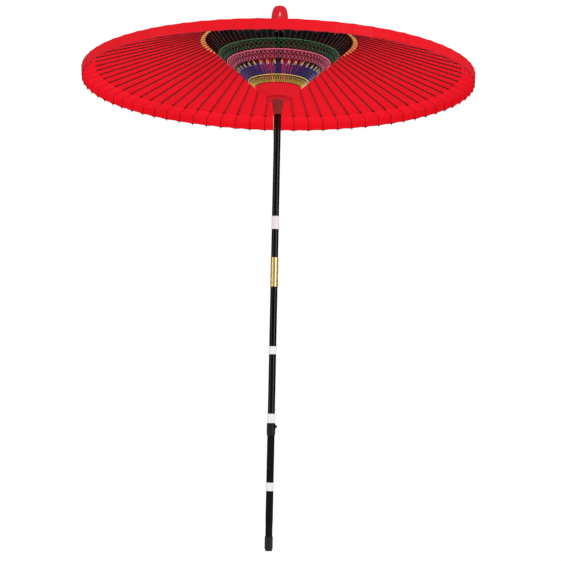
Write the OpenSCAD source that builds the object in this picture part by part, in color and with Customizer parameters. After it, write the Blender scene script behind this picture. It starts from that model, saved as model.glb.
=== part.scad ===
// Large outdoor paper parasol: one pole in two lengths, a rib and strut frame
// that folds, and a red oiled-paper canopy whose edge is turned down.
// Millimetres, Z up, origin at the centre of the foot.

/* [Canopy] */
// Radius of the folded edge of the canopy
canopy_r = 900; // [860:5:940]
// Slope of the ribs below level, in degrees
rib_slope = 17.2; // [16.6:0.1:17.8]
// Height of the folded edge above the foot
edge_z = 2147; // [2120:1:2170]
// Height of the turned-down rim
rim_drop = 47.5; // [40:0.5:55]
// How much smaller the rim's lower edge is than the folded edge, in radius
rim_lean = 3; // [1:0.5:5]
// How far the rib tips show below the rim
tip_show = 5.5; // [3:0.5:8]
// Thickness of the oiled paper, with its lacquer
paper_t = 0.5; // [0.4:0.1:0.8]

/* [Ribs and struts] */
// Number of ribs, with one strut each
rib_count = 72; // [36:18:72]
// Depth of a rib below the paper
rib_depth = 5; // [4.5:0.5:7]
// Width of a rib
rib_w = 3; // [2.8:0.1:4]
// Radius of the ring of rib and strut joints
joint_r = 335; // [330:1:345]
// Deepest part of a strut
strut_depth = 11; // [8:0.5:12]
// Width of a strut
strut_w = 3; // [2.6:0.1:3.4]

/* [Head and runner] */
// Radius of the ring of rib hinges in the head
head_hinge_r = 32; // [31.5:0.1:32.5]
// Radius of the ring of strut hinges in the runner
runner_hinge_r = 45; // [44:0.5:46]
// Height of the strut hinges when the parasol is open
runner_hinge_z = 2051; // [2045:1:2056]
// Radius of the runner's bore
runner_bore_r = 17; // [16.8:0.1:17.4]

/* [Pole] */
// Radius of the lower pole
pole_r = 16.5; // [16.3:0.05:16.6]
// Radial play of the upper pole in the joint sleeve
sleeve_play = 0.08; // [0.03:0.01:0.1]
// Height where the two lengths of pole meet, inside the sleeve
pole_split_z = 1200; // [1195:1:1205]
// Lower end of the joint sleeve
sleeve_z = 1177; // [1170:1:1185]
// Length of the joint sleeve
sleeve_len = 133; // [130:1:135]
// Heights of the lower edges of the rattan wraps, from the lowest up
wrap_z = [263, 563.5, 871, 1440]; // [200:0.5:1500]
// Lengths of the rattan wraps, from the lowest up
wrap_len = [37, 41, 35.5, 59.5]; // [30:0.5:60]
// Lower face of the stand collar
collar_z = 508.8; // [480:0.1:509]
// Height of the stand collar
collar_h = 54; // [50:1:54]

/* [Hidden] */
main_count = 18;
function two(i) = i < 10 ? str("0", i) : str(i);

// ---- shared geometry, in the upright plane through the pole and one rib ----
slope_tan = tan(rib_slope);
function paper_z(r) = edge_z + (canopy_r - r) * slope_tan;
tip_z = edge_z - rim_drop - tip_show;
rim_z = edge_z - rim_drop;
rim_r = canopy_r - rim_lean;
head = [head_hinge_r, paper_z(head_hinge_r) - 7];
joint = [joint_r, paper_z(joint_r) - 12];
runner_hinge = [runner_hinge_r, runner_hinge_z];
strut_vec = runner_hinge - joint;
strut_len = norm(strut_vec);
strut_angle = atan2(strut_vec[1], strut_vec[0]);
function strut_z(r) = runner_hinge_z + (r - runner_hinge_r) * strut_vec[1] / strut_vec[0];

paper_gap = 0.4;      // air between the paper and a rib
rib_end_w = 1.4;      // width of a rib where it enters the head
rib_thin_r = 95;      // where a rib reaches its full width
eye_r = 3;            // round ends of ribs and struts
lug_w = 2;            // tongue on the rib that the strut's fork straddles
fork_gap = 2.6;
prong_w = 1.2;
fork_len = 20;
strut_end_w = 1.7;    // width of a strut where it enters the runner
strut_thin_len = 50;
thread_r = 0.5;
upper_pole_r = pole_r - sleeve_play;
pole_top_z = paper_z(0) + 14;
wrap_t = 2.3;         // thickness of the rattan
catch_az = 180;
catch_pivot = [12, 1846];
catch_top_z = 1968;
catch_w = 5;
screw_az = -40;
screw_z = 548;
screw_r = 3;
step_z = 122;         // below this the pole is a little thinner
step_cut = 0.8;
pole_base_z = 12;     // the pole stands on the solid tip of its ferrule
teal_black = [0.06, 0.06, 0.07];
paper_red = [0.88, 0.12, 0.16];

// Turns a flat outline (radius, height) upright at one azimuth
module upright(azimuth, width) {
    rotate([0, 0, azimuth]) rotate([90, 0, 0])
        linear_extrude(height = width, center = true) children();
}

// A hole or pin across the plate at one azimuth
module cross_pin(azimuth, at, radius, width) {
    rotate([0, 0, azimuth]) translate([at[0], 0, at[1]]) rotate([90, 0, 0])
        cylinder(r = radius, h = width, center = true, $fn = 32);
}

module ring(at, radius) {
    rotate_extrude($fn = 144) translate(at) circle(r = radius, $fn = 24);
}

module tube(z, height, inner, outer) {
    translate([0, 0, z]) difference() {
        cylinder(r = outer, h = height, $fn = 96);
        translate([0, 0, -1]) cylinder(r = inner, h = height + 2, $fn = 96);
    }
}

// A conical or round band from an outline (radius, height)
module turned(points) {
    rotate_extrude($fn = 144) polygon(points);
}

// ---- ribs and struts ----
function rib_outline(inner, outer) = [
    [inner, paper_z(inner) - paper_t - paper_gap],
    [outer, paper_z(outer) - paper_t - paper_gap],
    [outer, paper_z(outer) - paper_t - paper_gap - rib_depth],
    [inner, paper_z(inner) - paper_t - paper_gap - rib_depth]];

rib_edge_r = canopy_r - paper_t - 0.6;
rib_rim_depth = 4;
rib_corner = [1.6, 3];  // how the rib's outer corner is cut back from the fold in the paper

module rib(azimuth) {
    color(teal_black) difference() {
        union() {
            upright(azimuth, rib_end_w) union() {
                polygon(rib_outline(head[0] - eye_r, rib_thin_r));
                translate(head) circle(r = eye_r, $fn = 32);
            }
            upright(azimuth, rib_w) union() {
                polygon(rib_outline(rib_thin_r - 8, rib_edge_r - rib_rim_depth));
                polygon([
                    [rib_edge_r - rib_rim_depth - 0.5,
                     paper_z(rib_edge_r) - paper_t - paper_gap - rib_depth],
                    [rib_edge_r - rib_rim_depth - 0.5, paper_z(rib_edge_r - rib_rim_depth)
                     - paper_t - paper_gap],
                    [rib_edge_r - rib_corner[0], paper_z(rib_edge_r - rib_corner[0])
                     - paper_t - paper_gap],
                    [rib_edge_r, edge_z - rib_corner[1]],
                    [rib_edge_r - rim_lean, tip_z],
                    [rib_edge_r - rim_lean - rib_rim_depth, tip_z]]);
            }
            upright(azimuth, lug_w) union() {
                translate(joint) circle(r = eye_r + 0.2, $fn = 32);
                translate(joint - [eye_r, 0]) square([2 * eye_r, 7]);
            }
        }
        cross_pin(azimuth, head, thread_r + 0.1, 3);
        cross_pin(azimuth, joint, thread_r + 0.3, 6);
    }
}

module strut_plate(points) {
    translate(joint) rotate(strut_angle) polygon(points);
}

module strut(azimuth) {
    half = strut_depth / 2;
    thin = strut_len - strut_thin_len;
    color(teal_black) difference() {
        union() {
            for (side = [-1, 1])
                rotate([0, 0, azimuth])
                    translate([0, side * (fork_gap + prong_w) / 2, 0])
                        rotate([90, 0, 0])
                            linear_extrude(height = prong_w, center = true) union() {
                                translate(joint) circle(r = eye_r, $fn = 32);
                                strut_plate([[0, -eye_r], [fork_len, -eye_r - 0.4],
                                             [fork_len, eye_r + 0.4], [0, eye_r]]);
                            }
            upright(azimuth, strut_w) strut_plate([
                [fork_len - 5, -eye_r - 0.3], [120, -half], [thin - 70, -half],
                [thin, -3.4], [thin, 3.4], [thin - 70, half], [120, half],
                [fork_len - 5, eye_r + 0.3]]);
            upright(azimuth, fork_gap + 2 * prong_w) strut_plate([
                [fork_len - 6, -eye_r - 0.2], [fork_len, -eye_r - 0.4],
                [fork_len, eye_r + 0.4], [fork_len - 6, eye_r + 0.2]]);
            upright(azimuth, strut_end_w) union() {
                strut_plate([[thin - 5, -3.4], [strut_len, -2.6],
                             [strut_len, 2.6], [thin - 5, 3.4]]);
                translate(runner_hinge) circle(r = 2.6, $fn = 32);
            }
            cross_pin(azimuth, joint, thread_r + 0.22, fork_gap + 2 * prong_w);
        }
        cross_pin(azimuth, runner_hinge, thread_r + 0.3, 4);
    }
}

rib_step = 360 / rib_count;
per_main = rib_count / main_count;
module main_rib(i) { rib((i - 1) * per_main * rib_step); }
module main_strut(i) { strut((i - 1) * per_main * rib_step); }

module between_ribs() {
    for (k = [0 : rib_count - 1]) if (k % per_main != 0) rib(k * rib_step);
}

module between_struts() {
    for (k = [0 : rib_count - 1]) if (k % per_main != 0) strut(k * rib_step);
}

// Thread wound round each rib just outside its strut joint, open to the paper
module joint_wraps() {
    wrap_in = 343;
    wrap_out = 369;
    side = 0.8;
    top = paper_t + paper_gap;
    color([0.85, 0.68, 0.32]) for (k = [0 : rib_count - 1]) difference() {
        upright(k * rib_step, rib_w + 2 * side) polygon([
            [wrap_in, paper_z(wrap_in) - top],
            [wrap_out, paper_z(wrap_out) - top],
            [wrap_out, paper_z(wrap_out) - top - rib_depth - side],
            [wrap_in, paper_z(wrap_in) - top - rib_depth - side]]);
        upright(k * rib_step, rib_w) polygon([
            [wrap_in - 2, paper_z(wrap_in - 2) - top + 1],
            [wrap_out + 2, paper_z(wrap_out + 2) - top + 1],
            [wrap_out + 2, paper_z(wrap_out + 2) - top - rib_depth],
            [wrap_in - 2, paper_z(wrap_in - 2) - top - rib_depth]]);
    }
}

// ---- head ----
module slots(from_r, width, z, height) {
    for (k = [0 : rib_count - 1]) rotate([0, 0, k * rib_step])
        translate([from_r, -width / 2, z]) cube([40, width, height]);
}

head_flange_r = 37;
head_flange_h = 12;
module head_hub() {
    flange_top = paper_z(head_flange_r) - paper_t - 0.3;
    color([0.55, 0.12, 0.12]) difference() {
        union() {
            translate([0, 0, flange_top - head_flange_h])
                cylinder(r = head_flange_r, h = head_flange_h, $fn = 96);
            translate([0, 0, flange_top - 48]) cylinder(r1 = 20, r2 = 25.5, h = 40, $fn = 96);
        }
        translate([0, 0, flange_top - 60]) cylinder(r = upper_pole_r, h = 80, $fn = 96);
        slots(head[0] - eye_r - 0.4, 1.9, flange_top - head_flange_h - 1, head_flange_h + 2);
        ring(head, thread_r + 0.05);
    }
}

// Paper cap tied over the head; its skirt rests on the canopy
cap_profile = [[41.5, 0], [39.6, 12], [38.2, 28], [36, 40], [33.6, 50], [30, 59], [26, 65],
               [20, 69], [10, 70], [0, 70.2]];
cap_t = 1.5;
module cap() {
    base = paper_z(cap_profile[0][0] - cap_t) + 0.4;
    color(paper_red) translate([0, 0, base]) difference() {
        turned(concat([[0, 0]], cap_profile));
        turned(concat([[0, -1], [cap_profile[0][0] - cap_t, -1]],
            [for (p = cap_profile) [max(p[0] - cap_t, 0), max(p[1] - cap_t, 0)]]));
    }
}

// ---- paper ----
paper_in_r = 26;
module canopy() {
    color(paper_red) turned([
        [paper_in_r, paper_z(paper_in_r)],
        [canopy_r - 1.5, paper_z(canopy_r - 1.5)],
        [canopy_r, edge_z - 1.5],
        [rim_r, rim_z],
        [rim_r - paper_t, rim_z],
        [canopy_r - paper_t, edge_z - 1.5 - paper_t],
        [canopy_r - 1.5 - paper_t, paper_z(canopy_r - 1.5 - paper_t) - paper_t],
        [paper_in_r, paper_z(paper_in_r) - paper_t]]);
}

// Lining strip pasted inside the edge, over the ribs
module rim_paper() {
    lining_t = 0.4;
    lining_in_r = canopy_r - 62;
    under = paper_t + paper_gap + rib_depth + 0.3;
    corner_r = rib_edge_r - rib_rim_depth - 1.2;
    foot_r = corner_r - rim_lean;
    color([0.7, 0.1, 0.12]) turned([
        [lining_in_r, paper_z(lining_in_r) - under],
        [corner_r, paper_z(corner_r) - under],
        [foot_r, rim_z + 4],
        [foot_r - lining_t, rim_z + 4],
        [corner_r - lining_t, paper_z(corner_r - lining_t) - under - lining_t],
        [lining_in_r, paper_z(lining_in_r) - under - lining_t]]);
}

// ---- thread nets and a paper band, laced and pasted along the lower side of the struts ----
under_strut = strut_depth / 2 / cos(180 + strut_angle);
net_t = 0.8;
module strut_cone(inner, outer, drop) {
    turned([
        [inner, strut_z(inner) - drop - net_t], [outer, strut_z(outer) - drop - net_t],
        [outer, strut_z(outer) - drop], [inner, strut_z(inner) - drop]]);
}
module net(inner, outer) { strut_cone(inner, outer, under_strut + 1); }
module net_green() { color([0.12, 0.42, 0.3]) net(241, 277); }
module net_pink() { color([0.78, 0.3, 0.42]) net(196, 236.4); }
module net_blue() { color([0.16, 0.2, 0.55]) net(141, 192); }
module net_yellow() { color([0.82, 0.68, 0.28]) net(106, 137); }
module strut_band() { color(paper_red) strut_cone(53.5, 105, under_strut + 0.4); }

// ---- runner ----
runner_base_z = 1973;
runner_flange_r = 52;
runner_neck = [18.3, 28.5];  // radius at the bottom and under the flange
module runner() {
    flange_z = runner_hinge_z - 9;
    flange_h = 16;
    color([0.5, 0.1, 0.1]) difference() {
        union() {
            translate([0, 0, runner_base_z])
                cylinder(r1 = runner_neck[0], r2 = runner_neck[1],
                         h = flange_z - runner_base_z + 1, $fn = 96);
            translate([0, 0, flange_z]) cylinder(r = runner_flange_r, h = flange_h, $fn = 96);
            translate([0, 0, flange_z + flange_h - 1]) cylinder(r1 = 30, r2 = 24, h = 18, $fn = 96);
        }
        translate([0, 0, runner_base_z - 1]) cylinder(r = runner_bore_r, h = 130, $fn = 96);
        slots(runner_hinge_r - 3.5, 2.3, flange_z - 1, flange_h + 2);
        ring(runner_hinge, thread_r + 0.05);
    }
}

module runner_thread() {
    color([0.85, 0.8, 0.7]) ring(runner_hinge, thread_r);
}

// Bamboo leaf spring that stands out of the pole and holds the runner up
module catch() {
    color([0.8, 0.7, 0.5]) upright(catch_az, catch_w) union() {
        polygon([[catch_pivot[0] - 1.5, catch_pivot[1]], [catch_pivot[0] + 2, catch_pivot[1] - 1],
                 [17, catch_pivot[1] + 10], [21.5, catch_top_z], [18.5, catch_top_z],
                 [14, catch_pivot[1] + 14]]);
        translate(catch_pivot) circle(r = 2.5, $fn = 32);
    }
}

// ---- pole ----
module lower_pole() {
    color(teal_black) union() {
        translate([0, 0, pole_base_z])
            cylinder(r = pole_r - step_cut, h = step_z - pole_base_z, $fn = 96);
        translate([0, 0, step_z]) cylinder(r = pole_r, h = pole_split_z - step_z, $fn = 96);
    }
}

module upper_pole() {
    color(teal_black) difference() {
        translate([0, 0, pole_split_z])
            cylinder(r = upper_pole_r, h = pole_top_z - pole_split_z, $fn = 96);
        rotate([0, 0, catch_az])
            translate([8.5, -catch_w / 2 - 0.35, catch_pivot[1] - 4])
                cube([20, catch_w + 0.7, catch_top_z + 4 - (catch_pivot[1] - 4)]);
    }
}

module joint_sleeve() {
    color([0.84, 0.68, 0.36]) union() {
        tube(sleeve_z, sleeve_len, pole_r, pole_r + 1.1);
        tube(sleeve_z, 3, pole_r, pole_r + 1.8);
        tube(sleeve_z + sleeve_len - 3, 3, pole_r, pole_r + 1.8);
    }
}

module rattan(i, radius) {
    tube(wrap_z[i], wrap_len[i], radius, radius + wrap_t);
}

module lower_wraps() {
    color([0.86, 0.84, 0.86]) for (i = [0 : 2]) rattan(i, pole_r);
}

module upper_wrap() {
    color([0.86, 0.84, 0.86]) rattan(3, upper_pole_r);
}

// Small domed peg above the second wrap, where the tie string is hooked
module tie_peg() {
    color([0.7, 0.7, 0.72]) rotate([0, 0, -25]) translate([pole_r, 0, 624])
        rotate([0, 90, 0]) union() {
            translate([0, 0, 0.3]) cylinder(r = 2.2, h = 2.4, $fn = 32);
            translate([0, 0, 2.2]) intersection() {
                cylinder(r = 3.4, h = 3, $fn = 48);
                translate([0, 0, -2.6]) sphere(r = 4.6, $fn = 48);
            }
        }
}

module foot_ferrule() {
    color([0.1, 0.1, 0.11]) difference() {
        union() {
            cylinder(r = 15.6, h = 9.5, $fn = 96);
            translate([0, 0, 9]) cylinder(r = 18.3, h = 50, $fn = 96);
            translate([0, 0, 59]) cylinder(r1 = 18.3, r2 = 17.2, h = 4, $fn = 96);
        }
        translate([0, 0, pole_base_z]) cylinder(r = pole_r - step_cut, h = 70, $fn = 96);
    }
}

// Sliding stop that rests on the mouth of the stand
collar_r = 19.7;
module stand_collar() {
    color([0.07, 0.07, 0.08]) difference() {
        union() {
            translate([0, 0, collar_z]) cylinder(r1 = collar_r - 1.2, r2 = collar_r, h = 4, $fn = 96);
            translate([0, 0, collar_z + 4]) cylinder(r = collar_r, h = collar_h - 7, $fn = 96);
            translate([0, 0, collar_z + collar_h - 3])
                cylinder(r1 = collar_r, r2 = collar_r - 1, h = 3, $fn = 96);
        }
        translate([0, 0, collar_z - 1]) cylinder(r = pole_r + 0.1, h = collar_h + 2, $fn = 96);
        rotate([0, 0, screw_az]) translate([pole_r - 2, 0, screw_z]) rotate([0, 90, 0])
            cylinder(r = screw_r + 0.08, h = 10, $fn = 32);
    }
}

module clamp_screw() {
    head_in = collar_r + 0.4;
    head_h = 9;
    grips = 12;
    color([0.12, 0.12, 0.13]) rotate([0, 0, screw_az]) translate([0, 0, screw_z])
        rotate([0, 90, 0]) difference() {
            union() {
                translate([0, 0, pole_r + 0.5]) cylinder(r = screw_r, h = 6, $fn = 32);
                translate([0, 0, head_in]) cylinder(r = 7, h = head_h, $fn = 64);
            }
            for (k = [0 : grips - 1]) rotate([0, 0, k * 360 / grips])
                translate([7.4, 0, head_in - 1]) cylinder(r = 1, h = head_h + 2, $fn = 16);
        }
}

lower_pole();
foot_ferrule();
joint_sleeve();
lower_wraps();
tie_peg();
stand_collar();
clamp_screw();
upper_pole();
upper_wrap();
head_hub();
cap();
canopy();
rim_paper();
between_ribs();
between_struts();
joint_wraps();
net_green();
net_pink();
net_blue();
net_yellow();
strut_band();
runner();
runner_thread();
catch();
for (i = [1 : main_count]) {
    main_rib(i);
    main_strut(i);
}
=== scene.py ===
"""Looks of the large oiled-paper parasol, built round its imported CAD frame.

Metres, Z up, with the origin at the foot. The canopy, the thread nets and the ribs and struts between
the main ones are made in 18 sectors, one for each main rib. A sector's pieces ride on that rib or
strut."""

import math
import random

import bmesh
import bpy
from mathutils import Matrix, Vector


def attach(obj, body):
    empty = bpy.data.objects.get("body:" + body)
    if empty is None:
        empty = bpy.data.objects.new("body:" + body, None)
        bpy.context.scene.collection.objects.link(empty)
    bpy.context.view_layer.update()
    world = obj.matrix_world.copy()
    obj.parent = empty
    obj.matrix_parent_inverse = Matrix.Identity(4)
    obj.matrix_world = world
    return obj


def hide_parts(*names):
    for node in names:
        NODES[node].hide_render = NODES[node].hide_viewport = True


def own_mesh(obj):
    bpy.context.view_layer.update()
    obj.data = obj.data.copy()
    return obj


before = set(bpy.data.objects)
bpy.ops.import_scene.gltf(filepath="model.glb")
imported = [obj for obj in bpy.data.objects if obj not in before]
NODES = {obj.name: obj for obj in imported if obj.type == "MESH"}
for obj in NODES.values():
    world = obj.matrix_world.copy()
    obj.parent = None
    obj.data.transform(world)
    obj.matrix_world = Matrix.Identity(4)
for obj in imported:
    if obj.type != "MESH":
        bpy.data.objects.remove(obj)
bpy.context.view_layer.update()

# ---- sizes repeated from the CAD source ----
CANOPY_R = 0.900
EDGE_Z = 2.147                  # where the canopy's slope ends and its edge folds down
SLOPE_ANGLE = math.radians(17.2)
SLOPE = math.tan(SLOPE_ANGLE)
PAPER_T = 0.0005
RIM_R = 0.897                   # the lower end of the folded edge
RIM_Z = 2.0995
RIB_GAP = 0.0004
RIB_DEPTH = 0.005
RIB_W = 0.003
JOINT_R = 0.335                 # where a strut meets its rib
JOINT_DROP = 0.012
RUNNER_HINGE_R = 0.045
RUNNER_HINGE_Z = 2.051
STRUT_DEPTH = 0.011
POLE_R = 0.0165
UPPER_POLE_R = 0.01642
MAIN_COUNT = 18
RIB_STEP = math.radians(5)
SECTOR = math.radians(20)
CREASES = 4                     # gaps between ribs in one sector
SIDE_RIBS = (-1, 1, 2)          # the other ribs of a sector, in steps from its main rib
BAMBOO_EASE = 0.0004            # width of the slight bevels
TURNED_EASE = 0.0005


def paper_z(r):
    """Height of the paper's outer face at radius r."""
    return EDGE_Z + (CANOPY_R - r) * SLOPE


STRUT_SLOPE = (paper_z(JOINT_R) - JOINT_DROP - RUNNER_HINGE_Z) / (JOINT_R - RUNNER_HINGE_R)
STRUT_COS = 1 / math.hypot(1, STRUT_SLOPE)


def strut_z(r):
    """Height of a strut's middle line at radius r."""
    return RUNNER_HINGE_Z + (r - RUNNER_HINGE_R) * STRUT_SLOPE


def polar(r, azimuth, z):
    return Vector((r * math.cos(azimuth), r * math.sin(azimuth), z))


def sideways(azimuth):
    """Level unit direction across a rib that points along azimuth."""
    return -math.sin(azimuth), math.cos(azimuth), 0


def two_digits(i):
    return f"{i:02d}"


# ---- camera, at the photograph's viewpoint ----
SENSOR_MM = 36
FOCAL_PX = 1354.2
IMAGE_PX = 561
CAMERA_AWAY = 6.095
CAMERA_Z = 0.516
PITCH = 0.1128
ROLL = 0.0205
YAW = 0.0047
RIB_PHASE = 0.0107              # how far the camera stands round the pole from the line of a rib


def make_camera():
    data = bpy.data.cameras.new("camera")
    data.sensor_width = SENSOR_MM
    data.lens = SENSOR_MM * FOCAL_PX / IMAGE_PX
    cam = bpy.data.objects.new("camera", data)
    bpy.context.scene.collection.objects.link(cam)
    right = Vector((math.cos(YAW), -math.sin(YAW), 0))
    ahead = Vector((math.sin(YAW), math.cos(YAW), 0))
    up = -math.sin(PITCH) * ahead + Vector((0, 0, math.cos(PITCH)))
    forward = math.cos(PITCH) * ahead + Vector((0, 0, math.sin(PITCH)))
    rolled_right = math.cos(ROLL) * right + math.sin(ROLL) * up
    rolled_up = -math.sin(ROLL) * right + math.cos(ROLL) * up
    turn = Matrix((rolled_right, rolled_up, -forward)).transposed().to_4x4()
    place = Matrix.Translation((0, -CAMERA_AWAY, CAMERA_Z)) @ turn
    cam.matrix_world = Matrix.Rotation(RIB_PHASE, 4, "Z") @ place
    bpy.context.scene.camera = cam


# ---- light ----
WORLD_SEEN = 1.05
WORLD_LIGHT = 0.65              # what it gives to surfaces; the rest comes from the floor and the lamps
WORLD_REFLECTED = 0.10          # the room is darker than the backdrop in reflections
FLOOR_GLOW = 1.02
FLOOR_HALF = 60

LAMPS = (                       # name, place, aim, (width, height) and power
    ("right_softbox", (3.6, -4.15, 1.6), (0, 0, 1.6), (1.5, 3.4), 85),
    ("left_softbox", (-4.05, -2.1, 1.6), (0, 0, 1.6), (1.0, 3.4), 34),
    ("back_softbox", (1.4, 5.0, 1.6), (0, 0, 1.6), (1.2, 3.4), 50),
    ("spark", (0.2, -4.5, 4.9), (0, 0, 2.4), (0.3, 0.3), 45),
)


def make_world():
    """A white backdrop that lights surfaces less than the camera sees of it, and reflections still less."""
    world = bpy.data.worlds.new("studio")
    world.use_nodes = True
    tree = world.node_tree
    back = tree.nodes["Background"]
    back.inputs["Color"].default_value = (1, 1, 1, 1)
    path = tree.nodes.new("ShaderNodeLightPath")
    level = WORLD_LIGHT
    for ray, strength in (("Is Glossy Ray", WORLD_REFLECTED), ("Is Camera Ray", WORLD_SEEN)):
        choose = tree.nodes.new("ShaderNodeMix")
        choose.inputs["B"].default_value = strength
        tree.links.new(path.outputs[ray], choose.inputs["Factor"])
        if isinstance(level, float):
            choose.inputs["A"].default_value = level
        else:
            tree.links.new(level, choose.inputs["A"])
        level = choose.outputs["Result"]
    tree.links.new(level, back.inputs["Strength"])
    bpy.context.scene.world = world
    bpy.context.scene.view_settings.view_transform = "Standard"


def area_light(name, place, aim, size, power):
    """A rectangular lamp, size (width, height), aimed at a point."""
    data = bpy.data.lights.new(name, "AREA")
    data.shape = "RECTANGLE"
    data.size, data.size_y = size
    data.energy = power
    lamp = bpy.data.objects.new(name, data)
    lamp.location = place
    lamp.rotation_euler = (Vector(aim) - Vector(place)).to_track_quat("-Z", "Y").to_euler()
    bpy.context.scene.collection.objects.link(lamp)


# ---- materials ----
class Look:
    """A material and the node calls that build it."""

    def __init__(self, name, color, rough=0.5, metal=0.0, specular=0.5, coat=0.0, coat_rough=0.08):
        self.mat = bpy.data.materials.new(name)
        self.mat.use_nodes = True
        self.tree = self.mat.node_tree
        self.shader = self.tree.nodes["Principled BSDF"]
        self.put("Base Color", (*color, 1))
        self.put("Roughness", rough)
        self.put("Metallic", metal)
        self.put("Specular IOR Level", specular)
        self.put("Coat Weight", coat)
        self.put("Coat Roughness", coat_rough)
        self.where = self.node("ShaderNodeTexCoord").outputs["Object"]

    def node(self, kind, **settings):
        made = self.tree.nodes.new(kind)
        for key, value in settings.items():
            setattr(made, key, value)
        return made

    def link(self, source, target):
        self.tree.links.new(source, target)

    def put(self, socket, value):
        self.shader.inputs[socket].default_value = value

    def stretched(self, scale):
        mapping = self.node("ShaderNodeMapping")
        mapping.inputs["Scale"].default_value = scale
        self.link(self.where, mapping.inputs["Vector"])
        return mapping.outputs["Vector"]

    def noise(self, scale, detail=3.0, stretch=(1, 1, 1)):
        made = self.node("ShaderNodeTexNoise")
        made.inputs["Scale"].default_value = scale
        made.inputs["Detail"].default_value = detail
        self.link(self.stretched(stretch), made.inputs["Vector"])
        return made.outputs["Fac"]

    def ramp(self, fac, stops):
        """Colours along fac: stops of (position, (r, g, b))."""
        made = self.node("ShaderNodeValToRGB")
        band = made.color_ramp
        while len(band.elements) < len(stops):
            band.elements.new(0.5)
        for element, (place, color) in zip(band.elements, stops):
            element.position = place
            element.color = (*color, 1)
        self.link(fac, made.inputs["Fac"])
        return made.outputs["Color"]

    def mix(self, fac, a, b, blend="MIX"):
        """Blends colours a and b. Each of the three may be a value or another node's output."""
        made = self.node("ShaderNodeMix", data_type="RGBA", blend_type=blend)
        for socket, value in ((0, fac), (6, a), (7, b)):
            if isinstance(value, bpy.types.NodeSocket):
                self.link(value, made.inputs[socket])
            elif socket:
                made.inputs[socket].default_value = (*value, 1)
            else:
                made.inputs[socket].default_value = value
        return made.outputs[2]

    def span(self, fac, low, high, from_low=0.3, from_high=0.7):
        """Maps fac from one range to the range low to high, and keeps it inside."""
        made = self.node("ShaderNodeMapRange")
        ends = {"From Min": from_low, "From Max": from_high, "To Min": low, "To Max": high}
        for key, value in ends.items():
            made.inputs[key].default_value = value
        self.link(fac, made.inputs["Value"])
        return made.outputs["Result"]

    def height(self):
        """Height of a point of the piece, in metres."""
        made = self.node("ShaderNodeSeparateXYZ")
        self.link(self.where, made.inputs["Vector"])
        return made.outputs["Z"]

    def color(self, output):
        self.link(output, self.shader.inputs["Base Color"])

    def rough(self, output):
        self.link(output, self.shader.inputs["Roughness"])

    def bump(self, height, strength, distance):
        made = self.node("ShaderNodeBump")
        made.inputs["Strength"].default_value = strength
        made.inputs["Distance"].default_value = distance
        self.link(height, made.inputs["Height"])
        self.link(made.outputs["Normal"], self.shader.inputs["Normal"])

    def glow_through(self, share, color):
        """Lets part of the light behind a thin sheet show through it."""
        through = self.node("ShaderNodeBsdfTranslucent")
        through.inputs["Color"].default_value = (*color, 1)
        both = self.node("ShaderNodeMixShader")
        both.inputs["Fac"].default_value = share
        self.link(self.shader.outputs["BSDF"], both.inputs[1])
        self.link(through.outputs["BSDF"], both.inputs[2])
        self.link(both.outputs["Shader"], self.tree.nodes["Material Output"].inputs["Surface"])


def paper_fibres(look):
    fibres = look.noise(90, 6, (1, 1, 4))
    look.bump(fibres, 0.12, 0.0006)
    return fibres


def oiled_paper(name, light, dark, rough=0.5, coat=0.0, coat_rough=0.08, through=0.0):
    """Red paper with its long fibres, brushed with oil and sometimes lacquer."""
    look = Look(name, light, rough=rough, specular=0.06 if coat else 0.0, coat=coat, coat_rough=coat_rough)
    fibres = paper_fibres(look)
    patches = look.noise(2.2, 2)
    streaked = look.ramp(fibres, [(0.35, light), (0.75, dark)])
    look.color(look.mix(look.span(patches, 0.0, 0.5), light, streaked))
    look.rough(look.span(fibres, rough - 0.06, rough + 0.08))
    if through:
        look.glow_through(through, light)
    return look.mat


def under_paper(name, light, dark):
    """The canopy's inner face: the same red, with painted shade of the struts and nets making it darker and
    darker towards the head.
    """
    look = Look(name, light, rough=0.5, specular=0.0)
    red = look.ramp(paper_fibres(look), [(0.35, light), (0.75, dark)])
    climb = look.span(look.height(), 0.0, 1.0, paper_z(0.36), paper_z(0.10))
    shade = look.ramp(climb, [(0.0, (1, 1, 1)), (0.25, (0.45, 0.5, 0.55)), (0.5, (0.20, 0.3, 0.36)),
                              (0.75, (0.07, 0.2, 0.2)), (1.0, (0.015, 0.2, 0.2))])
    look.color(look.mix(1.0, red, shade, "MULTIPLY"))
    return look.mat


def lacquered(name, color, streak, rough, specular, coat=0.0, grain=60):
    """Lacquered bamboo or wood: grain along the length shows faintly through the lacquer."""
    look = Look(name, color, rough=rough, specular=specular, coat=coat)
    lines = look.noise(grain, 4, (1, 1, 0.04))
    wear = look.noise(7, 3)
    look.color(look.mix(look.span(lines, 0.0, 1.0, 0.45, 0.75), color, streak))
    look.rough(look.span(wear, rough - 0.05, rough + 0.1))
    look.bump(lines, 0.15, 0.0005)
    return look.mat


def pole_lacquer(name, specular, worn_below=0.0):
    """Black lacquer, glossy but for the part that goes into the stand, which is rubbed dull."""
    look = Look(name, (0.002, 0.002, 0.0025), rough=0.14, specular=specular)
    grain = look.span(look.noise(60, 4, (1, 1, 0.04)), 0.0, 1.0, 0.45, 0.75)
    look.color(look.mix(grain, (0.0012, 0.0012, 0.0016), (0.004, 0.004, 0.005)))
    look.rough(look.span(look.height(), 0.95, 0.14, worn_below - 0.01, worn_below + 0.01))
    return look.mat


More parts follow.
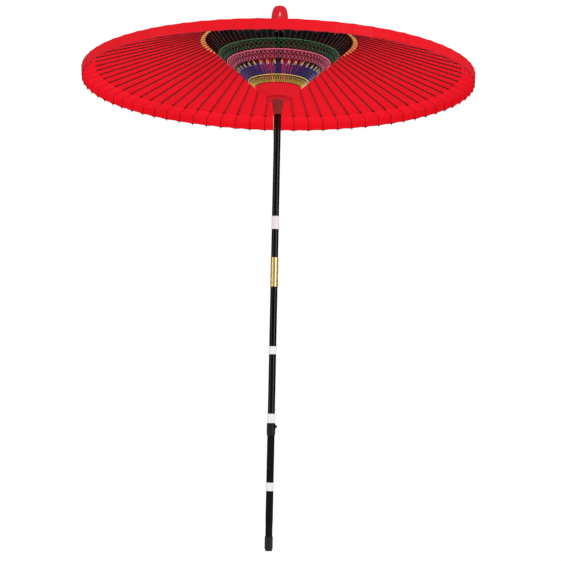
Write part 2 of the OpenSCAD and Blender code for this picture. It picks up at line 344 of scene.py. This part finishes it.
def rib_lacquer(name):
    """Ribs: black inside the struts' ring and rubbed down to dark red under the rest of the canopy."""
    look = Look(name, (0.05, 0.006, 0.007), rough=0.45, specular=0.1)
    lines = look.noise(300, 4, (1, 1, 0.04))
    worn = look.ramp(lines, [(0.4, (0.14, 0.010, 0.013)), (0.7, (0.25, 0.014, 0.018))])
    inside = look.span(look.height(), 0.0, 1.0, paper_z(0.37), paper_z(0.35))
    look.color(look.mix(inside, worn, (0.007, 0.004, 0.005)))
    look.bump(lines, 0.15, 0.0004)
    return look.mat


def thread(name, light, dark):
    """Silk thread: bright, with the shade between its plies."""
    look = Look(name, light, rough=0.5, specular=0.15)
    plies = look.noise(420, 3)
    look.color(look.ramp(plies, [(0.38, dark), (0.58, light)]))
    look.bump(plies, 0.4, 0.0004)
    return look.mat


def metal(name, color, dark, rough):
    """Polished sheet, stained a little darker in places and drawn along its length."""
    look = Look(name, color, rough=rough, metal=1.0)
    stain = look.noise(16, 3, (1, 1, 0.3))
    drawn = look.noise(180, 3, (1, 1, 0.03))
    look.color(look.mix(look.span(stain, 0.0, 0.5), color, dark))
    look.rough(look.span(drawn, rough - 0.04, rough + 0.06))
    return look.mat


def moulded(name, color, rough):
    """Cast or moulded part with a fine grain, paler in patches."""
    look = Look(name, color, rough=rough, specular=0.14)
    pale = [c * 1.8 for c in color]
    look.color(look.mix(look.span(look.noise(12, 3), 0, 0.5), color, pale))
    look.bump(look.noise(700, 2), 0.2, 0.0002)
    return look.mat


def bare_fibre(name, stops, rough, specular, grain, stretch, relief):
    """Bare cane or bamboo, coloured by stops along its fibre noise."""
    look = Look(name, stops[0][1], rough=rough, specular=specular)
    fibre = look.noise(grain, 4, stretch)
    look.color(look.ramp(fibre, stops))
    look.bump(fibre, relief, 0.0004)
    return look.mat


def runner_lacquer(name):
    """Red lacquer over turned wood, with painted shade making the neck below the flange darker and browner;
    its turning rings show.
    """
    look = Look(name, (0.6, 0.03, 0.03), rough=0.5, specular=0.0)
    above_neck = look.span(look.height(), 0.0, 1.0, 2.039, 2.043)
    rings = look.noise(40, 3, (1, 1, 5))
    neck = look.ramp(rings, [(0.3, (0.16, 0.022, 0.02)), (0.7, (0.3, 0.04, 0.034))])
    look.color(look.mix(above_neck, neck, (0.74, 0.018, 0.028)))
    look.bump(rings, 0.1, 0.0005)
    return look.mat


PAPER = oiled_paper("red_oiled_paper", (0.84, 0.010, 0.020), (0.66, 0.006, 0.013),
                    rough=0.45, coat=0.03, through=0.25)
PAPER_ON_RIB = oiled_paper("red_paper_on_rib", (0.72, 0.008, 0.016), (0.56, 0.005, 0.010),
                           rough=0.45, coat=0.03)
UNDER_PAPER = under_paper("red_paper_inside", (0.84, 0.011, 0.021), (0.68, 0.008, 0.015))
HEM = oiled_paper("red_hem", (0.42, 0.018, 0.030), (0.26, 0.010, 0.018))
# The lining is a little paler than the canopy's paper: painted light, making up for the less light that
# reaches the inside of the folded edge.
LINING = oiled_paper("red_lining_paper", (0.88, 0.012, 0.025), (0.76, 0.009, 0.019))
LINING_ON_RIB = oiled_paper("red_lining_on_rib", (0.26, 0.008, 0.012), (0.19, 0.006, 0.009))
CAP_PAPER = oiled_paper("red_cap_paper", (0.74, 0.012, 0.024), (0.54, 0.008, 0.016),
                        rough=0.3, coat=0.8, coat_rough=0.17)
BAND_PAPER = oiled_paper("red_band_paper", (0.70, 0.014, 0.026), (0.54, 0.010, 0.018), through=0.05)
RIB_LACQUER = rib_lacquer("dark_rib_bamboo")
STRUT_LACQUER = lacquered("black_bamboo", (0.005, 0.003, 0.004), (0.018, 0.011, 0.012),
                          rough=0.3, specular=0.34, grain=300)
POLE_GLOSSY = pole_lacquer("black_lacquer", 0.32)
POLE_WORN = pole_lacquer("black_lacquer_worn_foot", 0.26, worn_below=0.53)
IRON = moulded("black_iron", (0.012, 0.012, 0.013), 0.42)
PLASTIC = moulded("black_plastic", (0.008, 0.008, 0.009), 0.34)
BRASS = metal("brass", (0.92, 0.68, 0.30), (0.66, 0.46, 0.16), 0.34)
STEEL = metal("steel", (0.72, 0.72, 0.74), (0.45, 0.45, 0.46), 0.2)
RATTAN = bare_fibre("rattan",
                    [(0.3, (0.62, 0.58, 0.61)), (0.5, (0.80, 0.77, 0.81)), (0.75, (0.92, 0.89, 0.93))],
                    rough=0.42, specular=0.4, grain=160, stretch=(1, 1, 3), relief=0.3)
BAMBOO = bare_fibre("bamboo", [(0.35, (0.5, 0.34, 0.16)), (0.65, (0.72, 0.57, 0.33))],
                    rough=0.5, specular=0.5, grain=120, stretch=(1, 1, 0.05), relief=0.2)
RED_WOOD = runner_lacquer("red_lacquer_wood")
HUB_WOOD = lacquered("red_hub_wood", (0.35, 0.02, 0.02), (0.2, 0.012, 0.012),
                     rough=0.4, specular=0.4, coat=0.2)
PALE_THREAD = thread("natural_thread", (0.75, 0.66, 0.48), (0.45, 0.36, 0.22))
WRAP_THREAD = thread("golden_thread", (1.0, 0.80, 0.33), (0.84, 0.54, 0.14))
YELLOW_THREAD = thread("yellow_thread", (0.95, 0.62, 0.10), (0.60, 0.30, 0.03))
LIME_THREAD = thread("lime_thread", (0.62, 0.66, 0.12), (0.3, 0.32, 0.04))
YELLOW_CORD = thread("yellow_cord", (0.98, 0.82, 0.34), (0.7, 0.5, 0.14))
GREEN_THREAD = thread("green_thread", (0.05, 0.27, 0.10), (0.012, 0.09, 0.04))
GREEN_CORD = thread("green_cord", (0.13, 0.40, 0.21), (0.04, 0.18, 0.09))
PINK_THREAD = thread("pink_thread", (0.72, 0.03, 0.12), (0.36, 0.01, 0.04))
PINK_CORD = thread("pink_cord", (1.0, 0.30, 0.48), (0.72, 0.10, 0.22))
BLUE_THREAD = thread("blue_thread", (0.018, 0.06, 0.50), (0.006, 0.016, 0.16))
PURPLE_THREAD = thread("purple_thread", (0.24, 0.02, 0.18), (0.09, 0.008, 0.07))
CREAM_THREAD = thread("cream_thread", (0.95, 0.82, 0.50), (0.60, 0.44, 0.20))

NODE_LOOKS = {
    "lower_pole": POLE_WORN, "foot_ferrule": IRON, "joint_sleeve": BRASS, "tie_peg": STEEL,
    "stand_collar": PLASTIC, "clamp_screw": PLASTIC, "upper_pole": POLE_GLOSSY,
    "head_hub": HUB_WOOD, "runner": RED_WOOD,
    "runner_thread": PALE_THREAD, "catch": BAMBOO,
}
EASED_NODES = ("foot_ferrule", "joint_sleeve", "stand_collar", "clamp_screw", "runner", "catch")


# ---- mesh helpers ----
class Shape:
    """Collects points and faces, then becomes one piece."""

    def __init__(self):
        self.points = []
        self.faces = []
        self.looks = []
        self.face_look = []

    def add(self, points, faces, look):
        if look not in self.looks:
            self.looks.append(look)
        start = len(self.points)
        self.points += [Vector(p) for p in points]
        self.faces += [[start + i for i in f] for f in faces]
        self.face_look += [self.looks.index(look)] * len(faces)

    def grid(self, rows, look, wrap=False):
        """A surface through rows of points. With wrap, each row closes on itself."""
        width = len(rows[0])
        faces = []
        for j in range(len(rows) - 1):
            low, high = j * width, (j + 1) * width
            for i in range(width if wrap else width - 1):
                n = (i + 1) % width
                faces.append((low + i, low + n, high + n, high + i))
        self.add([p for row in rows for p in row], faces, look)

    def tube(self, path, radius, look, sides=4):
        """A round thread along a path, with flat ends."""
        count = len(path)
        turn = 2 * math.pi / sides
        rows = []
        side = None
        for i, p in enumerate(path):
            before = path[max(i - 1, 0)]
            after = path[min(i + 1, count - 1)]
            along = (after - before).normalized()
            guide = side if side is not None else Vector((0, 0, 1))
            if abs(along.dot(guide)) > 0.95:
                guide = Vector((1, 0, 0))
            side = (guide - along * along.dot(guide)).normalized()
            other = along.cross(side)
            rows.append([p + radius * (math.cos(k * turn) * side + math.sin(k * turn) * other)
                         for k in range(sides)])
        self.grid(rows, look, wrap=True)
        last = len(self.points) - sides
        first = last - (count - 1) * sides
        self.faces.append([first + k for k in reversed(range(sides))])
        self.faces.append([last + k for k in range(sides)])
        self.face_look += [self.looks.index(look)] * 2

    def piece(self, name, body, smooth=True, crease=None):
        """The finished piece. crease says of an edge's two ends whether the fold there is sharp."""
        mesh = bpy.data.meshes.new(name)
        mesh.from_pydata(self.points, [], self.faces)
        for look in self.looks:
            mesh.materials.append(look)
        mesh.polygons.foreach_set("material_index", self.face_look)
        mesh.polygons.foreach_set("use_smooth", [smooth] * len(self.faces))
        return placed(name, mesh, body, crease)


def placed(name, mesh, body, crease):
    """Cleans the mesh, marks its open and folded edges sharp, and puts it in the scene."""
    tidy = bmesh.new()
    tidy.from_mesh(mesh)
    bmesh.ops.remove_doubles(tidy, verts=tidy.verts, dist=1e-6)
    bmesh.ops.recalc_face_normals(tidy, faces=tidy.faces)
    for edge in tidy.edges:
        folded = crease and crease(edge.verts[0].co, edge.verts[1].co)
        edge.smooth = not (edge.is_boundary or folded)
    tidy.to_mesh(mesh)
    tidy.free()
    obj = bpy.data.objects.new(name, mesh)
    bpy.context.scene.collection.objects.link(obj)
    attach(obj, body)
    return obj


def thicken(obj, thickness, inner_look=0):
    """Gives a sheet its thickness inwards. inner_look is how far on in the looks an inner face's is."""
    mod = obj.modifiers.new("thickness", "SOLIDIFY")
    mod.thickness = thickness
    mod.offset = -1
    mod.material_offset = inner_look


def ease_edges(obj, width):
    mod = obj.modifiers.new("edges", "BEVEL")
    mod.width = width
    mod.segments = 2
    mod.limit_method = "ANGLE"
    mod.angle_limit = math.radians(35)


def fold(obj):
    """Gives a sector's piece a mesh of its own."""
    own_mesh(obj)


# ---- what runs across a sector ----
def across_sector(main, shares):
    """Columns across a sector: azimuth, share of the gap, and which gap. The last is on the last rib."""
    for gap in range(CREASES):
        for share in shares:
            yield main - SECTOR / 2 + (gap + share) * RIB_STEP, share, gap
    yield main + SECTOR / 2, 1, CREASES - 1


def gaps_of(main):
    """Azimuths of the two ribs beside each gap of a sector."""
    first = main - SECTOR / 2
    return [(first + k * RIB_STEP, first + (k + 1) * RIB_STEP) for k in range(CREASES)]


def chord(r, share):
    """Radius of a straight line from rib to rib, at a share of the gap."""
    return r * math.cos(RIB_STEP / 2) / math.cos((share - 0.5) * RIB_STEP)


def bulge(share):
    """0 on a rib and 1 in mid gap."""
    return 4 * share * (1 - share)


def on_a_rib(first, second):
    """True for an edge that runs along a rib's middle line."""
    for p in (first, second):
        steps = math.atan2(p.y, p.x) / RIB_STEP
        if abs(steps - round(steps)) > 0.004:
            return False
    return True


def strips(shape, rows, columns, over_rib, between):
    """A surface whose narrow strips beside each rib have their own look."""
    for k in range(len(rows[0]) - 1):
        share = columns[min(k, len(columns) - 2)][1]
        narrow = share < 0.01 or share > 0.96
        shape.grid([row[k:k + 2] for row in rows], over_rib if narrow else between)


# ---- canopy ----
PAPER_RADII = [0.026, 0.06, 0.10, 0.15, 0.22, 0.32, 0.4, 0.5, 0.6, 0.7, 0.78, 0.84, 0.88, 0.894, 0.8985]
PAPER_SHARES = (0, 0.03, 0.1, 0.22, 0.36, 0.5, 0.64, 0.78, 0.9, 0.97)
PAPER_RINGS = ((0.06, 0.97), (0.10, 0.62), (0.15, 0.42), (0.22, 0.31), (0.32, 0.235), (None, 0.18))
RIM_PROFILE = ((0.8998, EDGE_Z - 0.0012), (0.9, EDGE_Z - 0.0035), (0.8994, 2.136), (0.8986, 2.124),
               (0.8978, 2.112), (0.8973, RIM_Z + 0.0045), (RIM_R, RIM_Z))
RIM_HELD_ROWS = 5               # rows of the folded edge that are glued to the ribs' tips
RIM_DIP = 0.0009                # how far the folded edge falls in between two ribs
SAG = (0.0010, 0.0024)          # how far the paper sags between two ribs, at the edge
HEM_WOBBLE = (-0.0008, 0.0010)
HEM_SCALLOP = 0.0030
TAB = math.radians(0.12)        # overlap glued under the next sector's paper
TAB_DROP = 0.0006


def tab_end(edge):
    """The end of the tab beyond a point on the sector's last rib."""
    inwards = Vector((edge.x, edge.y, 0)).normalized() * TAB_DROP
    end = Matrix.Rotation(TAB, 3, "Z") @ edge - inwards
    end.z -= TAB_DROP
    return end


def paper_rows(columns, rng):
    """Rows of points from the head to the hem: straight from rib to rib, with a slight sag."""
    sag = [rng.uniform(*SAG) for _ in range(CREASES)]
    wobble = [rng.uniform(*HEM_WOBBLE) for _ in columns]
    wobble[0] = wobble[-1] = 0
    rows = []
    for r in PAPER_RADII:
        rows.append([polar(chord(r, share), a, paper_z(r) - sag[gap] * bulge(share) * r / CANOPY_R)
                     for a, share, gap in columns])
    for j, (r, z) in enumerate(RIM_PROFILE):
        free = max(0.0, (j - RIM_HELD_ROWS + 1) / 2)
        rows.append([polar(chord(r, share) - RIM_DIP * bulge(share), a,
                           z + free * (wobble[k] + HEM_SCALLOP * bulge(share)))
                     for k, (a, share, gap) in enumerate(columns)])
    for row in rows:
        row.append(tab_end(row[-1]))
    return rows


def make_panel(i, main, rng):
    """Paper over one sector, folded down at the edge.

    It is made in rings; near the head the closed ribs stand as far apart as the open ones. The widest ring,
    which has the folded edge, comes last."""
    columns = list(across_sector(main, PAPER_SHARES))
    rows = paper_rows(columns, rng)
    rings = []
    first = 0
    for r, keep in PAPER_RINGS:
        last = PAPER_RADII.index(r) if r else len(rows) - 1
        name = f"panel_{two_digits(i)}_head_{len(rings) + 1}" if r else f"panel_{two_digits(i)}"
        ring = paper_ring(name, "rib_body_" + two_digits(i), rows[first:last + 1], columns, hemmed=not r)
        fold(ring)
        rings.append(ring)
        first = last
    return rings


def paper_ring(name, body, rows, columns, hemmed):
    shape = Shape()
    strips(shape, rows[:-1] if hemmed else rows, columns, PAPER_ON_RIB, PAPER)
    inner = [UNDER_PAPER, UNDER_PAPER]
    if hemmed:
        shape.grid(rows[-2:], HEM)
        inner.append(HEM)
    shape.looks += inner
    ring = shape.piece(name, body, crease=on_a_rib)
    thicken(ring, PAPER_T, inner_look=len(inner))
    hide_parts("canopy")
    return ring


LINING_SHARES = (0, 0.024, 0.05, 0.12, 0.3, 0.5, 0.7, 0.88, 0.95, 0.976)
LINING_RADII = (0.838, 0.85, 0.868, 0.884, 0.8918)
LINING_RIM = ((0.8932, EDGE_Z - 0.0078), (0.8918, 2.125), (0.8902, RIM_Z + 0.004))
LINING_DROP = PAPER_T + RIB_GAP + RIB_DEPTH + 0.0007
LINING_RISE = 0.0042
LINING_T = 0.0003


def tented(share):
    """How far the lining rises from a rib to the paper between two ribs, from 0 to 1."""
    near = min(share, 1 - share)
    t = min(1.0, max(0.0, (near - 0.024) / 0.12))
    return t * t * (3 - 2 * t)


def make_lining(i, main):
    """Strip pasted inside the edge: down over each rib, up to the paper between them."""
    columns = list(across_sector(main, LINING_SHARES))
    rows = []
    for r in LINING_RADII:
        rows.append([polar(chord(r, share), a, paper_z(r) - LINING_DROP + LINING_RISE * tented(share))
                     for a, share, gap in columns])
    for r, z in LINING_RIM:
        rows.append([polar(chord(r, share) + LINING_RISE * tented(share), a, z)
                     for a, share, gap in columns])
    shape = Shape()
    strips(shape, rows, columns, LINING_ON_RIB, LINING)
    lining = shape.piece("lining_" + two_digits(i), "rib_body_" + two_digits(i))
    thicken(lining, LINING_T)
    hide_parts("rim_paper")
    fold(lining)
    return lining


# ---- ribs and struts ----
def make_side_copies(kind, i, main, look):
    """A sector's other ribs or struts: one piece holding copies of the CAD one at azimuth 0."""
    source = NODES[kind + "_01"].data
    points = [v.co.copy() for v in source.vertices]
    faces = [list(p.vertices) for p in source.polygons]
    shape = Shape()
    for k in SIDE_RIBS:
        turn = Matrix.Rotation(main + k * RIB_STEP, 3, "Z")
        shape.add([turn @ p for p in points], faces, look)
    copies = shape.piece(f"side_{kind}s_{two_digits(i)}", f"{kind}_body_{two_digits(i)}",
                         smooth=False)
    ease_edges(copies, BAMBOO_EASE)
    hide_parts(f"between_{kind}s")
    fold(copies)


WRAP_IN = 0.342
WRAP_OUT = 0.362
WRAP_TURNS = 10
WRAP_PITCH = (WRAP_OUT - WRAP_IN) / WRAP_TURNS
WRAP_HALF = RIB_W / 2 + 0.0005
WRAP_CORNER = 0.0012


def wound(shape, azimuth):
    """Thread wound side by side over one rib, from the paper down one side and up the other."""
    across = Vector(sideways(azimuth))
    for j in range(WRAP_TURNS):
        r = WRAP_IN + (j + 0.5) * WRAP_PITCH
        top = paper_z(r) - PAPER_T - RIB_GAP - 0.0004
        low = top - RIB_DEPTH - 0.0003
        outline = [(-WRAP_HALF, top), (-WRAP_HALF, low + WRAP_CORNER), (-WRAP_HALF + WRAP_CORNER, low),
                   (WRAP_HALF - WRAP_CORNER, low), (WRAP_HALF, low + WRAP_CORNER), (WRAP_HALF, top)]
        path = [polar(r, azimuth, z) + across * s for s, z in outline]
        shape.tube(path, WRAP_PITCH * 0.54, WRAP_THREAD, 5)


def make_wraps(i, main):
    shape = Shape()
    for k in (0,) + SIDE_RIBS:
        wound(shape, main + k * RIB_STEP)
    wraps = shape.piece("rib_wraps_" + two_digits(i), "rib_body_" + two_digits(i))
    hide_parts("joint_wraps")
    fold(wraps)


# ---- thread nets ----
NET_DEPTH = (STRUT_DEPTH / 2 - 0.0012) / STRUT_COS    # how far below a strut's middle line the threads run


def net_point(r, azimuth):
    return polar(r, azimuth, strut_z(r) - NET_DEPTH)


def net_ring(shape, main, r, thick, look):
    """A thread that runs round the struts at one radius."""
    for a, b in gaps_of(main):
        path = [net_point(chord(r, t), a + (b - a) * t) for t in (0, 0.25, 0.5, 0.75, 1)]
        shape.tube(path, thick, look, 5)


def net_cross(shape, main, inner, outer, count, thick, look):
    """Threads crossing between neighbouring struts, count crossings from inner to outer radius."""
    step = (outer - inner) / count
    for a, b in gaps_of(main):
        for j in range(count):
            low, high = inner + j * step, inner + (j + 1) * step
            for start, end in ((low, high), (high, low)):
                path = [net_point(chord(start + (end - start) * t, t), a + (b - a) * t)
                        for t in (0, 0.5, 1)]
                shape.tube(path, thick, look)


def net_bars(shape, main, inner, outer, offsets, thick, look):
    """Threads that run along the struts, at shares of each gap."""
    radii = (inner, (inner + outer) / 2, outer)
    for a, b in gaps_of(main):
        for t in offsets:
            shape.tube([net_point(chord(r, t), a + (b - a) * t) for r in radii], thick, look)


def net_tassels(shape, main, inner, outer, spread, thick):
    """Cream threads gathered on every second strut, fanning out towards the runner."""
    for k in (-1, 1):
        azimuth = main + k * RIB_STEP
        for t in (-1, -0.4, 0.4, 1):
            side = t * spread / inner
            path = [net_point(outer, azimuth + side * 0.35),
                    net_point((inner + outer) / 2, azimuth + side),
                    net_point(inner, azimuth + side * 0.8)]
            shape.tube(path, thick, CREAM_THREAD, 5)


NET_THREAD = 0.0008             # radius of most of the nets' threads


def green_net(shape, main):
    net_ring(shape, main, 0.277, 0.0013, GREEN_CORD)
    net_cross(shape, main, 0.241, 0.277, 2, NET_THREAD, GREEN_THREAD)


def pink_net(shape, main):
    net_ring(shape, main, 0.2364, 0.0022, PINK_CORD)
    net_cross(shape, main, 0.199, 0.2364, 2, NET_THREAD, PINK_CORD)
    net_bars(shape, main, 0.199, 0.2350, (0.3, 0.7), 0.0007, PINK_THREAD)


def blue_net(shape, main):
    net_tassels(shape, main, 0.178, 0.196, 0.0036, 0.0010)
    net_cross(shape, main, 0.141, 0.184, 4, NET_THREAD, BLUE_THREAD)
    net_bars(shape, main, 0.143, 0.188, (0.2, 0.5), 0.0006, PURPLE_THREAD)


def yellow_net(shape, main):
    net_ring(shape, main, 0.137, 0.0021, YELLOW_CORD)
    net_cross(shape, main, 0.107, 0.136, 1, NET_THREAD, YELLOW_THREAD)
    net_bars(shape, main, 0.107, 0.135, (0.06, 0.94), 0.0005, LIME_THREAD)
    net_ring(shape, main, 0.108, 0.0010, YELLOW_THREAD)


NETS = (                        # node, what makes it, slot, and the share of its width kept when closed
    ("net_green", green_net, "green_thread", 0.18), ("net_pink", pink_net, "pink_thread", 0.21),
    ("net_blue", blue_net, "blue_thread", 0.27), ("net_yellow", yellow_net, "yellow_thread", 0.36),
)


def make_nets(i, main):
    for node, lace, slot, keep in NETS:
        shape = Shape()
        lace(shape, main)
        net = shape.piece(node + "_" + two_digits(i), "strut_body_" + two_digits(i))
        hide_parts(node)
        fold(net)


BAND_RADII = (0.0535, 0.058, 0.068, 0.080, 0.092, 0.102, 0.1045, 0.1052)
BAND_SHARES = (0, 0.17, 0.34, 0.5, 0.66, 0.83)
BAND_DROP = STRUT_DEPTH / 2 / STRUT_COS + 0.0005
BAND_RISE = 0.0005
BAND_T = 0.0006


def make_band(i, main):
    """Red paper pasted over the lower ends of the struts, just above the runner."""
    columns = list(across_sector(main, BAND_SHARES))
    rows = []
    for r in BAND_RADII:
        rows.append([polar(chord(r, share), a, strut_z(r) - BAND_DROP + BAND_RISE * bulge(share))
                     for a, share, gap in columns])
    shape = Shape()
    shape.grid(rows, BAND_PAPER)
    band = shape.piece("band_" + two_digits(i), "strut_body_" + two_digits(i))
    thicken(band, BAND_T)
    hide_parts("strut_band")
    fold(band)
    return band


# ---- pole and head ----
def full_turn(count):
    return [2 * math.pi * k / count for k in range(count)]


CANE_PITCH = 0.0036
CANE_ROWS = 8                   # rows of points across one turn of cane
CANE_BASE = 0.0009
CANE_CROWN = 0.0013
LOWER_WINDINGS = ((0.263, 0.037), (0.5635, 0.041), (0.871, 0.0355))       # height and length of each
UPPER_WINDINGS = ((1.440, 0.0595),)


def cane_r(inner, z, azimuth):
    """Outer radius of a winding, whose ridges climb one pitch a turn."""
    phase = (z / CANE_PITCH + azimuth / (2 * math.pi)) % 1
    crown = math.sqrt(max(0.0, 1 - (2 * phase - 1) ** 4))
    return inner + CANE_BASE + CANE_CROWN * crown


def make_winding(name, node, inner, windings, body):
    """Split cane wound round the pole edge to edge, as a ridged sleeve."""
    azimuths = full_turn(64)
    shape = Shape()
    for low, length in windings:
        high = low + length
        steps = round((high - low) / CANE_PITCH * CANE_ROWS)
        rows = [[polar(inner, a, low) for a in azimuths]]
        for j in range(steps + 1):
            z = low + (high - low) * j / steps
            rows.append([polar(cane_r(inner, z, a), a, z) for a in azimuths])
        rows.append([polar(inner, a, high) for a in azimuths])
        rows.append(rows[0])
        shape.grid(rows, RATTAN, wrap=True)
    winding = shape.piece(name, body)
    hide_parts(node)


CAP_H = 0.0702
CAP_BASE_Z = paper_z(0.040) + 0.0004
CAP_FLUTES = 24
CAP_FLUTE_DEPTH = (0.7, 1.25)   # range of the flutes' share of the usual depth
CAP_OUTSIDE = ((0.0408, 0.0002), (0.0415, 0.0018), (0.0408, 0.006), (0.0396, 0.012), (0.0389, 0.020),
               (0.0382, 0.028), (0.0373, 0.034), (0.0360, 0.040), (0.0350, 0.045), (0.0336, 0.050),
               (0.0320, 0.0548), (0.0300, 0.059), (0.0282, 0.0623), (0.0258, 0.0655), (0.0230, 0.0678),
               (0.0195, 0.0690), (0.015, 0.0696), (0.009, 0.07), (0.0008, CAP_H))
CAP_INSIDE = ((0.0008, 0.0688), (0.015, 0.0680), (0.0240, 0.0645), (0.0286, 0.0585), (0.0325, 0.049),
              (0.0350, 0.040), (0.0369, 0.028), (0.0383, 0.012), (0.0396, 0.0))


def make_cap():
    """Lacquered paper cap: gathered into soft flutes that open out at its flared foot."""
    rng = random.Random(5)
    depths = [rng.uniform(*CAP_FLUTE_DEPTH) for _ in range(CAP_FLUTES)]
    azimuths = full_turn(144)

    def flute(z, azimuth):
        share = azimuth / (2 * math.pi) * CAP_FLUTES
        strength = 0.0007 * (1 - z / CAP_H) ** 0.7 + 0.00018
        return strength * depths[int(share) % CAP_FLUTES] * (1 - math.sin(math.pi * (share % 1)) ** 0.8)

    rows = [[polar(r - flute(z, a), a, CAP_BASE_Z + z) for a in azimuths] for r, z in CAP_OUTSIDE]
    rows += [[polar(r, a, CAP_BASE_Z + z) for a in azimuths] for r, z in CAP_INSIDE]
    rows.append(rows[0])
    shape = Shape()
    shape.grid(rows, CAP_PAPER, wrap=True)
    cap = shape.piece("cap_paper", "pole_upper")
    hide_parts("cap")


# ---- the whole thing ----
def finish(obj, look):
    obj.data.materials.clear()
    obj.data.materials.append(look)


def dress_frame():
    """Gives the CAD nodes that stay in view their finish and slightly eased edges."""
    for name, look in NODE_LOOKS.items():
        finish(NODES[name], look)
    for name in EASED_NODES:
        ease_edges(NODES[name], TURNED_EASE)
    for i in range(1, MAIN_COUNT + 1):
        for kind, look in (("rib_", RIB_LACQUER), ("strut_", STRUT_LACQUER)):
            finish(NODES[kind + two_digits(i)], look)
            ease_edges(NODES[kind + two_digits(i)], BAMBOO_EASE)


def make_floor():
    """A lit white floor, so that it meets the backdrop without a horizon."""
    look = Look("pale_floor", (0.02, 0.02, 0.02), rough=1.0, specular=0.0)
    look.put("Emission Color", (1, 1, 1, 1))
    look.put("Emission Strength", FLOOR_GLOW)
    corners = [(FLOOR_HALF * x, FLOOR_HALF * y, 0) for x, y in ((-1, -1), (1, -1), (1, 1), (-1, 1))]
    mesh = bpy.data.meshes.new("floor")
    mesh.from_pydata(corners, [], [(0, 1, 2, 3)])
    mesh.materials.append(look.mat)
    floor = bpy.data.objects.new("floor", mesh)
    bpy.context.scene.collection.objects.link(floor)


def make_sector(i, rng):
    main = (i - 1) * SECTOR
    *head_rings, panel = make_panel(i, main, rng)
    lining = make_lining(i, main)
    make_side_copies("rib", i, main, RIB_LACQUER)
    make_wraps(i, main)
    make_side_copies("strut", i, main, STRUT_LACQUER)
    make_nets(i, main)
    band = make_band(i, main)


make_camera()
make_world()
for lamp in LAMPS:
    area_light(*lamp)
make_floor()
dress_frame()
make_cap()
make_winding("lower_winding", "lower_wraps", POLE_R, LOWER_WINDINGS, "pole_lower")
make_winding("upper_winding", "upper_wrap", UPPER_POLE_R, UPPER_WINDINGS, "pole_upper")
paper_rng = random.Random(11)
for sector in range(1, MAIN_COUNT + 1):
    make_sector(sector, paper_rng)
